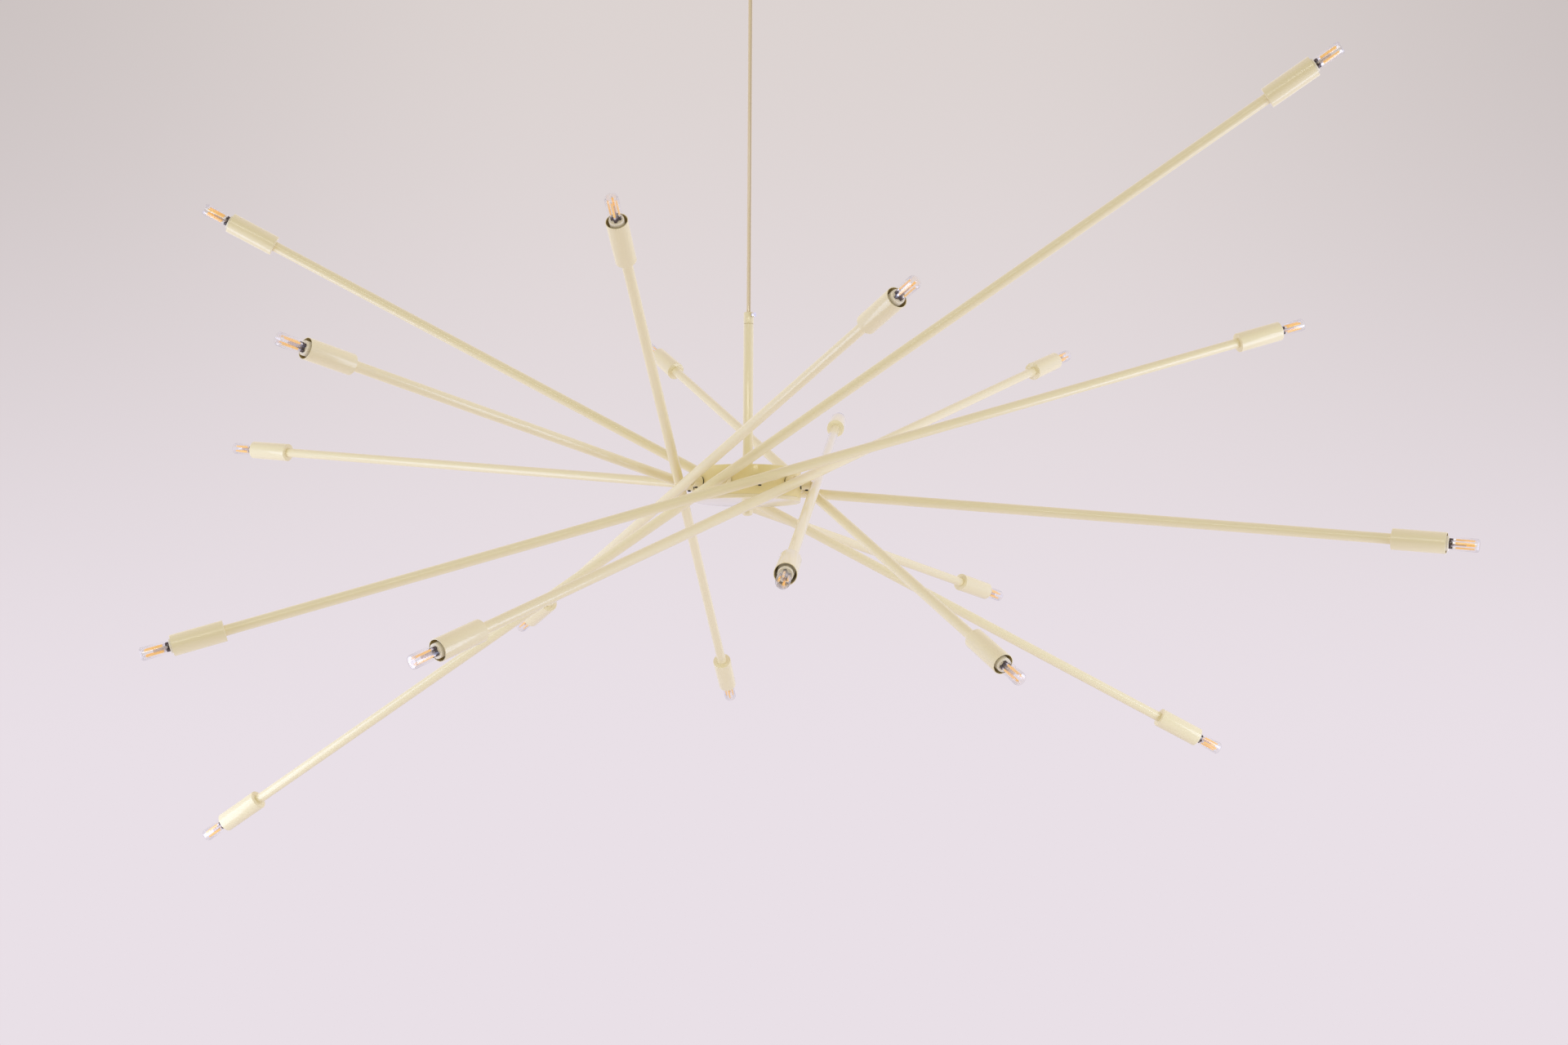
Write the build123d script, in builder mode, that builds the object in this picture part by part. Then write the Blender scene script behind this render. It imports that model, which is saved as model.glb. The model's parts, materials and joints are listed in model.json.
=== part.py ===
# Cable hung chandelier. Ten straight arms lie against a round hub, each turning on
# a boss that stands out of the hub's wall. Every arm has a lamp in a cup at both ends.
# Millimetres. The origin is on the ceiling, above the hub's middle, with +Z up.
import os
from math import cos, radians, sin

from build123d import *

# The drop, from the ceiling down to the plane of the ten bosses
arm_plane_drop = 720.0

# Ceiling plate and canopy
bracket_length = 96.0
bracket_width = 24.0
bracket_thickness = 2.5
bracket_corner = 4.0
slot_spacing = 70.0
slot_length = 14.0
slot_width = 5.0
canopy_diameter = 120.0
canopy_height = 40.0
canopy_wall = 1.5
canopy_shoulder = 8.0
nipple_diameter = 10.0
nipple_bore = 6.0
nut_across_flats = 14.0
nut_thickness = 5.0
nut_edge = 0.6
nipple_grip_depth = 8.0
grip_diameter = 16.0
grip_length = 25.0
grip_edge = 1.5
grip_screw_drop = 18.0
grip_screw_diameter = 4.0
grip_screw_proud = 1.0

# Cable, the collar that clamps it, and the stem below
cable_diameter = 5.6
cable_seat = 12.0
wire_passage = 3.0
cable_clearance = 0.1
collar_diameter = 12.7
collar_height = 14.8
collar_edge = 1.6
collar_seam = 0.8
collar_spigot_length = 10.0
collar_screw_drop = 4.0
collar_screw_azimuth = -40.0
collar_screw_shank = 3.0
collar_screw_head = 6.0
collar_screw_head_length = 3.6
collar_screw_neck = 1.0
collar_screw_edge = 0.5
screw_tip_clearance = 0.05
stem_diameter = 12.7
stem_length = 184.2
spigot_clearance = 0.1

# Hub drum, its cover and the tube that ties them together
hub_diameter = 134.0
hub_height = 37.0
hub_top_rise = 19.5
hub_wall = 2.0
hub_edge = 1.2
cover_thickness = 5.0
cover_edge = 1.5
cover_spigot_height = 3.0
cover_spigot_wall = 2.0
cover_spigot_clearance = 0.2
tie_diameter = 10.0
tie_bore = 6.0
tie_rise = 20.0
tie_clearance = 0.1
finial_diameter = 13.6
finial_height = 17.0
finial_dome = 4.5
finial_thread_depth = 11.0

# Bosses on the hub's wall
arm_count = 10
first_arm_azimuth = -75.0
arm_spacing = 360.0 / arm_count
washer_diameter = 12.4
washer_thickness = 1.3
boss_diameter = 13.6
boss_length = 11.5
boss_edge = 0.6
boss_spigot_diameter = 10.0
boss_spigot_inside = 7.0
boss_to_arm = 0.4
boss_nut_across_flats = 14.0
boss_nut_thickness = 4.0
boss_nut_seat = 0.6
pin_diameter = 8.0
pin_bore = 5.0
pin_clearance = 0.05
pin_groove_depth = 0.5
pin_groove_width = 4.6
pin_end_room = 1.0
braze_gap = 0.1
boss_screw_diameter = 4.0
boss_screw_from_wall = 7.4
boss_screw_proud = 1.4
boss_screw_socket = 2.0
boss_screw_socket_depth = 1.5

# Arms, in order round the hub. Each trim is how far the arm stands off even
# spacing, each tilt how far its counter-clockwise end is raised, in degrees.
# Arms on opposite sides have one length, from the boss to the back of the cup.
arm_trims = (0.0, 0.5, 0.5, 0.0, 0.0, 0.0, -2.0, -2.0, 1.5, 2.0)
arm_tilts = (17.0, 21.0, 17.0, 28.5, 6.0, 26.5, 10.5, 32.5, 19.5, 31.5)
arm_reaches = (655.0, 545.0, 405.0, 415.0, 775.0)
arm_diameter = 12.7
arm_bore = 10.3
arm_end_in_cup = 5.0

# Lamp cups, lampholders and capsule bulbs
cup_diameter = 25.0
cup_length = 60.5
cup_wall = 0.9
cup_back = 2.0
cup_back_edge = 0.9
cup_rim_edge = 0.3
holder_diameter = 18.6
holder_length = 18.0
holder_neck_diameter = 11.5
base_diameter = 16.8
base_length = 14.5
base_stand_out = 2.5
base_edge = 0.5
glass_diameter = 15.5
glass_wall = 1.4
bulb_stand_out = 36.0
glass_end_round = 2.6

# Heights and radii that follow from the sizes above
hub_radius = hub_diameter / 2
hub_top = hub_top_rise - arm_plane_drop
hub_bottom = hub_top - hub_height
cover_bottom = hub_bottom - cover_thickness
stem_top = hub_top + stem_length
collar_bottom = stem_top + collar_seam
collar_top = collar_bottom + collar_height
canopy_bottom = -canopy_height
grip_bottom = canopy_bottom - grip_length
cable_bottom = collar_top - cable_seat
cable_top = grip_bottom + cable_seat
boss_inner_end = hub_radius + washer_thickness
boss_outer_end = boss_inner_end + boss_length
boss_spigot_end = hub_radius - hub_wall - boss_spigot_inside
boss_screw_radius = hub_radius + boss_screw_from_wall
arm_radius = boss_outer_end + boss_to_arm + arm_diameter / 2
pin_end_radius = boss_spigot_end + pin_end_room
cable_bore = cable_diameter + 2 * cable_clearance
stem_bore = tie_diameter + 2 * tie_clearance

os.makedirs("parts", exist_ok=True)


def level(height):
    """A flat plane at a height above the ceiling's plane."""
    return Plane.XY.offset(height)


def arm_azimuth(arm):
    """The direction in which one boss points, in degrees seen from above."""
    return first_arm_azimuth + arm * arm_spacing + arm_trims[arm]


def boss_plane(arm, radius):
    """A plane across one boss at a radius: x runs level, y up, z outwards."""
    turn = radians(arm_azimuth(arm))
    outward = Vector(cos(turn), sin(turn), 0)
    sideways = Vector(-sin(turn), cos(turn), 0)
    middle = Vector(0, 0, -arm_plane_drop)
    return Plane(origin=middle + outward * radius, x_dir=sideways, z_dir=outward)


def arm_plane(arm, end):
    """A plane across one arm at its boss, with z along the arm to one of its ends."""
    across = boss_plane(arm, arm_radius)
    tilt = radians(arm_tilts[arm])
    along = across.x_dir * cos(tilt) + across.y_dir * sin(tilt)
    return Plane(origin=across.origin, x_dir=across.z_dir, z_dir=along * end)


def arm_reach(arm):
    """From the boss to the back of the cup. Opposite arms are alike."""
    return arm_reaches[arm % len(arm_reaches)]


def disc(plane, diameter, depth, mode=Mode.ADD):
    """A round bar, or a round cut, from a plane along its normal."""
    with BuildSketch(plane) as face:
        Circle(diameter / 2)
    extrude(face.sketch, amount=depth, mode=mode)


def sleeve(plane, outer, inner, depth):
    """A plain tube from a plane along its normal."""
    with BuildSketch(plane) as face:
        Circle(outer / 2)
        Circle(inner / 2, mode=Mode.SUBTRACT)
    extrude(face.sketch, amount=depth)


def hex_nut(plane, across_flats, bore, depth):
    """A six sided nut from a plane along its normal."""
    with BuildSketch(plane) as face:
        RegularPolygon(across_flats / 2, 6, major_radius=False)
        Circle(bore / 2, mode=Mode.SUBTRACT)
    extrude(face.sketch, amount=depth)


def save(builder, node):
    """Name one node's solids and write them to the parts folder."""
    builder.part.label = node
    export_step(builder.part, f"parts/{node}.step")


# Flat steel plate against the ceiling, with two slots for its screws
with BuildPart() as bracket:
    with BuildSketch(level(-bracket_thickness)):
        RectangleRounded(bracket_length, bracket_width, bracket_corner)
        Circle(nipple_diameter / 2, mode=Mode.SUBTRACT)
        with GridLocations(slot_spacing, 0, 2, 1):
            SlotOverall(slot_length, slot_width, mode=Mode.SUBTRACT)
    extrude(amount=bracket_thickness)
save(bracket, "ceiling_bracket")

# Hollow threaded tube that hangs from the plate and carries the canopy's grip
with BuildPart() as nipple:
    nipple_length = canopy_height + nipple_grip_depth
    sleeve(level(-nipple_length), nipple_diameter, nipple_bore, nipple_length)
save(nipple, "ceiling_nipple")

# Nut that locks the threaded tube under the plate
with BuildPart() as bracket_nut:
    nut_bottom = -bracket_thickness - nut_thickness
    hex_nut(level(nut_bottom), nut_across_flats, nipple_diameter, nut_thickness)
    chamfer(bracket_nut.edges().filter_by(GeomType.LINE).group_by(Axis.Z)[0], nut_edge)
save(bracket_nut, "bracket_nut")

# Spun canopy, open at the ceiling, that hides the plate
with BuildPart() as canopy:
    disc(level(canopy_bottom), canopy_diameter, canopy_height)
    fillet(canopy.edges().group_by(Axis.Z)[0], canopy_shoulder)
    offset(amount=-canopy_wall, openings=canopy.faces().sort_by(Axis.Z)[-1])
    disc(level(canopy_bottom), nipple_diameter, canopy_wall, Mode.SUBTRACT)
save(canopy, "ceiling_canopy")

# Grip under the canopy, screwed onto the threaded tube, where the cable is clamped
with BuildPart() as grip:
    disc(level(grip_bottom), grip_diameter, grip_length)
    fillet(grip.edges().group_by(Axis.Z)[0], grip_edge)
    disc(level(canopy_bottom - nipple_grip_depth), nipple_diameter, nipple_grip_depth, Mode.SUBTRACT)
    disc(level(grip_bottom), cable_bore, cable_seat, Mode.SUBTRACT)
    disc(level(cable_top), wire_passage, canopy_bottom - cable_top, Mode.SUBTRACT)
    grip_screw_plane = Plane(origin=(0, 0, canopy_bottom - grip_screw_drop), z_dir=(0, -1, 0))
    disc(grip_screw_plane, grip_screw_diameter, grip_diameter, Mode.SUBTRACT)
save(grip, "canopy_grip")

# Headless screw in the grip's side that holds the cable
with BuildPart() as grip_screw:
    grip_screw_start = cable_diameter / 2 + screw_tip_clearance
    grip_screw_end = grip_diameter / 2 + grip_screw_proud
    disc(grip_screw_plane.offset(grip_screw_start), grip_screw_diameter, grip_screw_end - grip_screw_start)
save(grip_screw, "grip_screw")

# Round cable, pulled straight by the lamp's weight
with BuildPart() as cable:
    disc(level(cable_bottom), cable_diameter, cable_top - cable_bottom)
save(cable, "suspension_cable")

# Collar on the stem's top: a spigot goes down into the stem, the cable comes in above
with BuildPart() as collar:
    disc(level(collar_bottom), collar_diameter, collar_height)
    fillet(collar.edges().group_by(Axis.Z)[-1], collar_edge)
    spigot_diameter = stem_bore - 2 * spigot_clearance
    spigot_drop = collar_spigot_length + collar_seam
    disc(level(collar_bottom - spigot_drop), spigot_diameter, spigot_drop)
    shoulder_diameter = (stem_diameter + stem_bore) / 2
    disc(level(stem_top), shoulder_diameter, collar_seam)
    disc(level(cable_bottom), cable_bore, cable_seat, Mode.SUBTRACT)
    wire_start = collar_bottom - spigot_drop
    disc(level(wire_start), wire_passage, cable_bottom - wire_start, Mode.SUBTRACT)
    collar_screw_turn = radians(collar_screw_azimuth)
    collar_screw_plane = Plane(
        origin=(0, 0, collar_top - collar_screw_drop),
        z_dir=(cos(collar_screw_turn), sin(collar_screw_turn), 0),
    )
    disc(collar_screw_plane, collar_screw_shank, collar_diameter, Mode.SUBTRACT)
save(collar, "stem_collar")

# Bright thumb screw in the collar's side
with BuildPart() as collar_screw:
    collar_screw_start = cable_diameter / 2 + screw_tip_clearance
    collar_head_start = collar_diameter / 2 + collar_screw_neck
    disc(collar_screw_plane.offset(collar_head_start), collar_screw_head, collar_screw_head_length)
    fillet(collar_screw.edges().filter_by(GeomType.CIRCLE), collar_screw_edge)
    shank_length = collar_head_start - collar_screw_start
    disc(collar_screw_plane.offset(collar_screw_start), collar_screw_shank, shank_length)
save(collar_screw, "collar_screw")

# Stem tube from the collar down to the hub
with BuildPart() as stem:
    sleeve(level(hub_top), stem_diameter, stem_bore, stem_length)
save(stem, "stem_tube")

# Hollow threaded tube inside the stem that ties stem, hub, cover and finial together
with BuildPart() as tie:
    tie_bottom = cover_bottom - finial_thread_depth
    sleeve(level(tie_bottom), tie_diameter, tie_bore, hub_top + tie_rise - tie_bottom)
save(tie, "tie_rod")

# Nut on the threaded tube, under the hub's top
with BuildPart() as stem_nut:
    stem_nut_bottom = hub_top - hub_wall - nut_thickness
    hex_nut(level(stem_nut_bottom), nut_across_flats, tie_diameter, nut_thickness)
    chamfer(stem_nut.edges().filter_by(GeomType.LINE).group_by(Axis.Z)[0], nut_edge)
save(stem_nut, "stem_nut")

# Hub drum: a round box, open below, with a hole in its wall for every boss
with BuildPart() as drum:
    disc(level(hub_bottom), hub_diameter, hub_height)
    fillet(drum.edges().group_by(Axis.Z)[-1], hub_edge)
    disc(level(hub_bottom), hub_diameter - 2 * hub_wall, hub_height - hub_wall, Mode.SUBTRACT)
    disc(level(hub_top - hub_wall), tie_diameter, hub_wall, Mode.SUBTRACT)
    for arm in range(arm_count):
        disc(boss_plane(arm, boss_spigot_end), boss_spigot_diameter, hub_radius, Mode.SUBTRACT)
save(drum, "hub_drum")

# Cover that closes the drum from below, with a low ring that centres it
with BuildPart() as cover:
    disc(level(cover_bottom), hub_diameter, cover_thickness)
    fillet(cover.edges().group_by(Axis.Z)[0], cover_edge)
    ring_outer = hub_diameter - 2 * hub_wall - 2 * cover_spigot_clearance
    sleeve(level(hub_bottom), ring_outer, ring_outer - 2 * cover_spigot_wall, cover_spigot_height)
    disc(level(cover_bottom), tie_diameter, cover_thickness, Mode.SUBTRACT)
save(cover, "hub_cover")

# Domed nut under the cover
with BuildPart() as finial:
    finial_bottom = cover_bottom - finial_height
    disc(level(finial_bottom), finial_diameter, finial_height)
    fillet(finial.edges().group_by(Axis.Z)[0], finial_dome)
    disc(level(tie_bottom), tie_diameter, finial_thread_depth, Mode.SUBTRACT)
save(finial, "finial")

# Black saddle washers between the drum's round wall and the flat bosses
with BuildPart() as washers:
    for arm in range(arm_count):
        washer_start = hub_radius - hub_wall
        washer_depth = boss_inner_end - washer_start
        sleeve(boss_plane(arm, washer_start), washer_diameter, boss_spigot_diameter, washer_depth)
    disc(level(hub_bottom), hub_diameter, hub_height, Mode.SUBTRACT)
save(washers, "boss_washers")

# Bosses: each has a spigot through the drum's wall, a bore for its arm's pin
# and a cross hole below for the screw that holds the pin
with BuildPart() as bosses:
    for arm in range(arm_count):
        disc(boss_plane(arm, boss_inner_end), boss_diameter, boss_length)
        outer_face = boss_plane(arm, boss_outer_end).origin
        chamfer(bosses.edges().filter_by(GeomType.CIRCLE).sort_by_distance(outer_face)[0], boss_edge)
        spigot_length = boss_inner_end - boss_spigot_end
        disc(boss_plane(arm, boss_spigot_end), boss_spigot_diameter, spigot_length)
        boss_bore = pin_diameter + 2 * pin_clearance
        disc(boss_plane(arm, boss_spigot_end), boss_bore, hub_radius, Mode.SUBTRACT)
        screw_origin = boss_plane(arm, boss_screw_radius).origin
        screw_plane = Plane(origin=screw_origin, z_dir=(0, 0, -1))
        disc(screw_plane, boss_screw_diameter, boss_diameter, Mode.SUBTRACT)
save(bosses, "arm_bosses")

# Black headless screws, one under each boss, whose tips run in the pins' grooves
with BuildPart() as boss_screws:
    for arm in range(arm_count):
        screw_tip = pin_diameter / 2 - pin_groove_depth + screw_tip_clearance
        screw_length = boss_diameter / 2 + boss_screw_proud - screw_tip
        screw_origin = boss_plane(arm, boss_screw_radius).origin
        screw_plane = Plane(origin=screw_origin, z_dir=(0, 0, -1)).offset(screw_tip)
        disc(screw_plane, boss_screw_diameter, screw_length)
        with BuildSketch(screw_plane.offset(screw_length - boss_screw_socket_depth)):
            RegularPolygon(boss_screw_socket / 2, 6, major_radius=False)
        extrude(amount=boss_screw_socket_depth, mode=Mode.SUBTRACT)
save(boss_screws, "boss_screws")

# Nuts inside the drum that hold the bosses' spigots
with BuildPart() as boss_nuts:
    for arm in range(arm_count):
        boss_nut_end = hub_radius - hub_wall - boss_nut_seat
        nut_plane = boss_plane(arm, boss_nut_end - boss_nut_thickness)
        hex_nut(nut_plane, boss_nut_across_flats, boss_spigot_diameter, boss_nut_thickness)
save(boss_nuts, "boss_nuts")

for arm in range(arm_count):
    number = f"{arm + 1:02d}"
    reach = arm_reach(arm)

    # Hollow pin that turns in the boss: a groove for the boss's screw, and an outer end
    # that is cut to a saddle, to be brazed against the round arm
    with BuildPart() as pin:
        pin_start = boss_plane(arm, pin_end_radius)
        sleeve(pin_start, pin_diameter, pin_bore, arm_radius - pin_end_radius)
        with BuildSketch(boss_plane(arm, boss_screw_radius - pin_groove_width / 2)):
            Circle(pin_diameter / 2)
            Circle(pin_diameter / 2 - pin_groove_depth, mode=Mode.SUBTRACT)
        extrude(amount=pin_groove_width, mode=Mode.SUBTRACT)
        saddle_start = arm_plane(arm, 1).offset(-pin_diameter)
        disc(saddle_start, arm_diameter + 2 * braze_gap, 2 * pin_diameter, Mode.SUBTRACT)

    # Straight arm tube, with a hole in its side for the wires that come through the pin
    with BuildPart() as arm_tube:
        half_tube = reach + cup_back + arm_end_in_cup
        tube_start = arm_plane(arm, 1).offset(-half_tube)
        sleeve(tube_start, arm_diameter, arm_bore, 2 * half_tube)
        disc(pin_start, pin_bore, arm_radius - pin_end_radius, Mode.SUBTRACT)
        add(pin.part)
    save(arm_tube, f"arm_tube_{number}")

    # The two open cups, each closed at the back round the arm's end
    with BuildPart() as cups:
        for end in (1, -1):
            cup_start = arm_plane(arm, end).offset(reach)
            profile = Plane(origin=cup_start.origin, x_dir=cup_start.x_dir, z_dir=-cup_start.y_dir)
            with BuildSketch(profile) as cup_half:
                with BuildLine():
                    Polyline(
                        (arm_diameter / 2, 0),
                        (cup_diameter / 2, 0),
                        (cup_diameter / 2, cup_length),
                        (cup_diameter / 2 - cup_wall, cup_length),
                        (cup_diameter / 2 - cup_wall, cup_back),
                        (arm_diameter / 2, cup_back),
                        close=True,
                    )
                make_face()
                back_corner = Vector(cup_diameter / 2, 0)
                chamfer(cup_half.vertices().sort_by_distance(back_corner)[0], cup_back_edge)
                rim_corner = Vector(cup_diameter / 2, cup_length)
                chamfer(cup_half.vertices().sort_by_distance(rim_corner)[0], cup_rim_edge)
            revolve(axis=Axis(cup_start.origin, cup_start.z_dir))
    save(cups, f"lamp_cups_{number}")

    # The two ceramic lampholders on the arm's ends, and the bulbs' ceramic bases in them
    with BuildPart() as holders:
        for end in (1, -1):
            base_end = cup_length + base_stand_out
            base_start = base_end - base_length
            holder_start = base_start - holder_length
            neck_start = cup_back + arm_end_in_cup
            cup_start = arm_plane(arm, end).offset(reach)
            disc(cup_start.offset(neck_start), holder_neck_diameter, holder_start - neck_start)
            disc(cup_start.offset(holder_start), holder_diameter, holder_length)
            disc(cup_start.offset(base_start), base_diameter, base_length)
            base_face = cup_start.offset(base_end).origin
            chamfer(holders.edges().filter_by(GeomType.CIRCLE).sort_by_distance(base_face)[0], base_edge)
    save(holders, f"lampholders_{number}")

    # The two clear glass capsules, hollow, closed at the outer end
    with BuildPart() as bulbs:
        for end in (1, -1):
            glass_start = arm_plane(arm, end).offset(reach + cup_length + base_stand_out)
            glass_length = bulb_stand_out - base_stand_out
            profile = Plane(origin=glass_start.origin, x_dir=glass_start.x_dir, z_dir=-glass_start.y_dir)
            outside = glass_diameter / 2
            inside = outside - glass_wall
            end_flat = outside - glass_end_round
            side_length = glass_length - glass_end_round
            end_inside = glass_length - glass_wall
            with BuildSketch(profile):
                with BuildLine():
                    Line((inside, 0), (outside, 0))
                    Line((outside, 0), (outside, side_length))
                    RadiusArc((outside, side_length), (end_flat, glass_length), -glass_end_round)
                    Line((end_flat, glass_length), (0, glass_length))
                    Line((0, glass_length), (0, end_inside))
                    Line((0, end_inside), (end_flat, end_inside))
                    RadiusArc((end_flat, end_inside), (inside, side_length), glass_end_round - glass_wall)
                    Line((inside, side_length), (inside, 0))
                make_face()
            revolve(axis=Axis(glass_start.origin, glass_start.z_dir))
    save(bulbs, f"bulbs_{number}")
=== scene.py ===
import json
from cmath import phase, rect
from math import acos, cos, pi, radians, sin, tan, tau

import bmesh
import bpy
from mathutils import Matrix, Vector


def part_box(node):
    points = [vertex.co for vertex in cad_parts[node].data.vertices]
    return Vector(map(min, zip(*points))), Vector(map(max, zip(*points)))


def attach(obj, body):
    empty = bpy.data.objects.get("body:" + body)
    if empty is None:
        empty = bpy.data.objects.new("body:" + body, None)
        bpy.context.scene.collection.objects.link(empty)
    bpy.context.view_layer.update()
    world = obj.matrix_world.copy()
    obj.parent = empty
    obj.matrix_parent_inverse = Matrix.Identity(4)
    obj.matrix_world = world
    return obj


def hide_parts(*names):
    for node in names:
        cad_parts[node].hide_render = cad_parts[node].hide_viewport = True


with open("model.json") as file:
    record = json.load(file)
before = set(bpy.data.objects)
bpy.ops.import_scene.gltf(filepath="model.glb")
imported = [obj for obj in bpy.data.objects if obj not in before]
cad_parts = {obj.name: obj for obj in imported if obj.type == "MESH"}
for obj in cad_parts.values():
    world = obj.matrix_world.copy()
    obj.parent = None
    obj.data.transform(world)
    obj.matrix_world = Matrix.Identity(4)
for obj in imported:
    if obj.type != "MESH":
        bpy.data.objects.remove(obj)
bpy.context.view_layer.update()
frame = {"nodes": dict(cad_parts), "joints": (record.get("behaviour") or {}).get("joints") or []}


# Ceiling plate, threaded tube and lock nut. Pressed and turned steel, zinc plated. Two
# screws go through the plate's slots into the ceiling, and the tube carries the lamp.


class Value:
    """What one node gives. Sums and products of numbers add Math nodes."""

    def __init__(self, graph, socket):
        self.graph = graph
        self.socket = socket

    def also(self, output):
        """Another output of the same node."""
        return Value(self.graph, self.socket.node.outputs[output])

    def math(self, operation, *terms):
        return self.graph.add("ShaderNodeMath", {"operation": operation}, dict(enumerate(terms)))

    def __add__(self, other):
        return self.math("ADD", self, other)

    def __sub__(self, other):
        return self.math("SUBTRACT", self, other)

    def __rsub__(self, other):
        return self.math("SUBTRACT", other, self)

    def __mul__(self, other):
        return self.math("MULTIPLY", self, other)

    __radd__ = __add__
    __rmul__ = __mul__


class Graph:
    """A node tree that is filled by one method."""

    def __init__(self, tree):
        self.tree = tree

    def add(self, kind, settings=None, sockets=None, output=0):
        """Add a node: its settings first, then the values or links of its sockets."""
        node = self.tree.nodes.new(kind)
        for name, setting in (settings or {}).items():
            setattr(node, name, setting)
        for name, value in (sockets or {}).items():
            if isinstance(value, Value):
                self.tree.links.new(value.socket, node.inputs[name])
            else:
                node.inputs[name].default_value = value
        return Value(self, node.outputs[output] if node.outputs else None)

    def blend(self, mask, first, second):
        """One colour where the mask is 0, another where it is 1."""
        sockets = {0: mask, 6: first, 7: second}
        return self.add("ShaderNodeMix", {"data_type": "RGBA"}, sockets, output=2)


class Finish(Graph):
    """The finish of a surface, round one shader. What is even sits on its own sockets."""

    def __init__(self, name, **even):
        self.material = bpy.data.materials.new(name)
        self.material.use_nodes = True
        super().__init__(self.material.node_tree)
        self.shader = self.tree.nodes["Principled BSDF"]
        for socket, number in even.items():
            self.shader.inputs[socket.replace("_", " ")].default_value = number
        self.place = self.add("ShaderNodeTexCoord", output="Object")

    def noise(self, scale, detail=2.0):
        sockets = {"Vector": self.place, "Scale": scale, "Detail": detail}
        return self.add("ShaderNodeTexNoise", sockets=sockets, output="Fac")

    def drive(self, socket, value):
        self.tree.links.new(value.socket, self.shader.inputs[socket])

    def relief(self, height, depth):
        """Fine relief of that depth in metres, where the height goes from 0 to 1."""
        sockets = {"Distance": depth, "Height": height}
        self.drive("Normal", self.add("ShaderNodeBump", sockets=sockets))


def dress(finish, *nodes):
    """Give CAD nodes that keep their own shape a finish."""
    for node in nodes:
        for slot in frame["nodes"][node].material_slots:
            slot.material = finish.material


zinc = Finish("zinc_plate", Metallic=1.0)
grains = {"Vector": zinc.place, "Scale": 420.0}
spangle = zinc.add("ShaderNodeTexVoronoi", sockets=grains, output="Distance")
zinc.drive("Base Color", zinc.blend(spangle, (0.52, 0.52, 0.50, 1), (0.72, 0.72, 0.70, 1)))
zinc.drive("Roughness", 0.26 + 0.22 * zinc.noise(160.0, 3.0))
zinc.relief(spangle, 0.00003)
dress(zinc, "ceiling_bracket", "ceiling_nipple", "bracket_nut")


# Canopy. A cup spun from sheet steel, open at the ceiling, and sprayed in glossy cream
# like the rest of the lamp. The cable grip holds it up against the ceiling.


def outline(*corners, steps=7):
    """A profile through corners of (radius, height, rounding), with the corners rounded."""
    points = []
    for index, (radius, height, rounding) in enumerate(corners):
        corner = complex(radius, height)
        if not rounding:
            points.append(corner)
            continue
        before = complex(*corners[index - 1][:2]) - corner
        after = complex(*corners[(index + 1) % len(corners)][:2]) - corner
        before /= abs(before)
        after /= abs(after)
        half = acos(before.real * after.real + before.imag * after.imag) / 2
        middle = corner + (before + after) / abs(before + after) * rounding / sin(half)
        start = corner + before * rounding / tan(half) - middle
        end = corner + after * rounding / tan(half) - middle
        turn = phase(end / start)
        points += [middle + start * rect(1, turn * step / steps) for step in range(steps + 1)]
    return [(point.real, point.imag) for point in points]


def turned(name, profile, sides):
    """A mesh turned round Z from a closed profile, with the material on its left."""
    vertices, rings, faces = [], [], []
    for radius, height in profile:
        first = len(vertices)
        if radius < 1e-7:
            vertices.append((0, 0, height))
            rings.append([first] * sides)
        else:
            spokes = [rect(radius, tau * side / sides) for side in range(sides)]
            vertices += [(spoke.real, spoke.imag, height) for spoke in spokes]
            rings.append(range(first, first + sides))
    for low, high in zip(rings, rings[1:] + rings[:1]):
        for side in range(sides):
            after = (side + 1) % sides
            face = list(dict.fromkeys((low[side], low[after], high[after], high[side])))
            if len(face) > 2:
                faces.append(face)
    mesh = bpy.data.meshes.new(name)
    mesh.from_pydata(vertices, [], faces)
    mesh.shade_smooth()
    mesh.set_sharp_from_angle(angle=radians(38))
    return mesh


def mark(mesh, name, inside):
    """Store a mask that is 1 at the mesh's points inside a region."""
    mask = mesh.attributes.new(name, "FLOAT", "POINT")
    for entry, vertex in zip(mask.data, mesh.vertices):
        entry.value = inside(vertex.co)


def piece(name, mesh, body, slot, *nodes):
    """Show a finished mesh as one piece of a body, in the place of CAD nodes."""
    made = bpy.data.objects.new(name, mesh)
    bpy.context.scene.collection.objects.link(made)
    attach(made, body)
    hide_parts(*nodes)
    return made


cream = Finish("cream_paint", Coat_Weight=0.8, Coat_Roughness=0.11, IOR=1.45)
# Inside the cups the paint turns dark brown: painted shade for the dim hollow.
painted_shade_inside = cream.add("ShaderNodeAttribute", {"attribute_name": "inside"}, output="Fac")
paint = cream.blend(cream.noise(5.0, 3.0), (0.885, 0.80, 0.51, 1), (0.925, 0.845, 0.57, 1))
# On the hub drum the paint turns a deeper, darker yellow: painted shade.
painted_shade_drum = cream.add("ShaderNodeAttribute", {"attribute_name": "drum_shade"}, output="Fac")
paint = cream.blend(painted_shade_drum, paint, (0.905, 0.80, 0.40, 1))
cream.drive("Base Color", cream.blend(painted_shade_inside, paint, (0.37, 0.28, 0.10, 1)))
cream.drive("Roughness", 0.42 + 0.14 * cream.noise(70.0, 4.0))
cream.relief(cream.noise(900.0, 1.0), 0.0000012)

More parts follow.
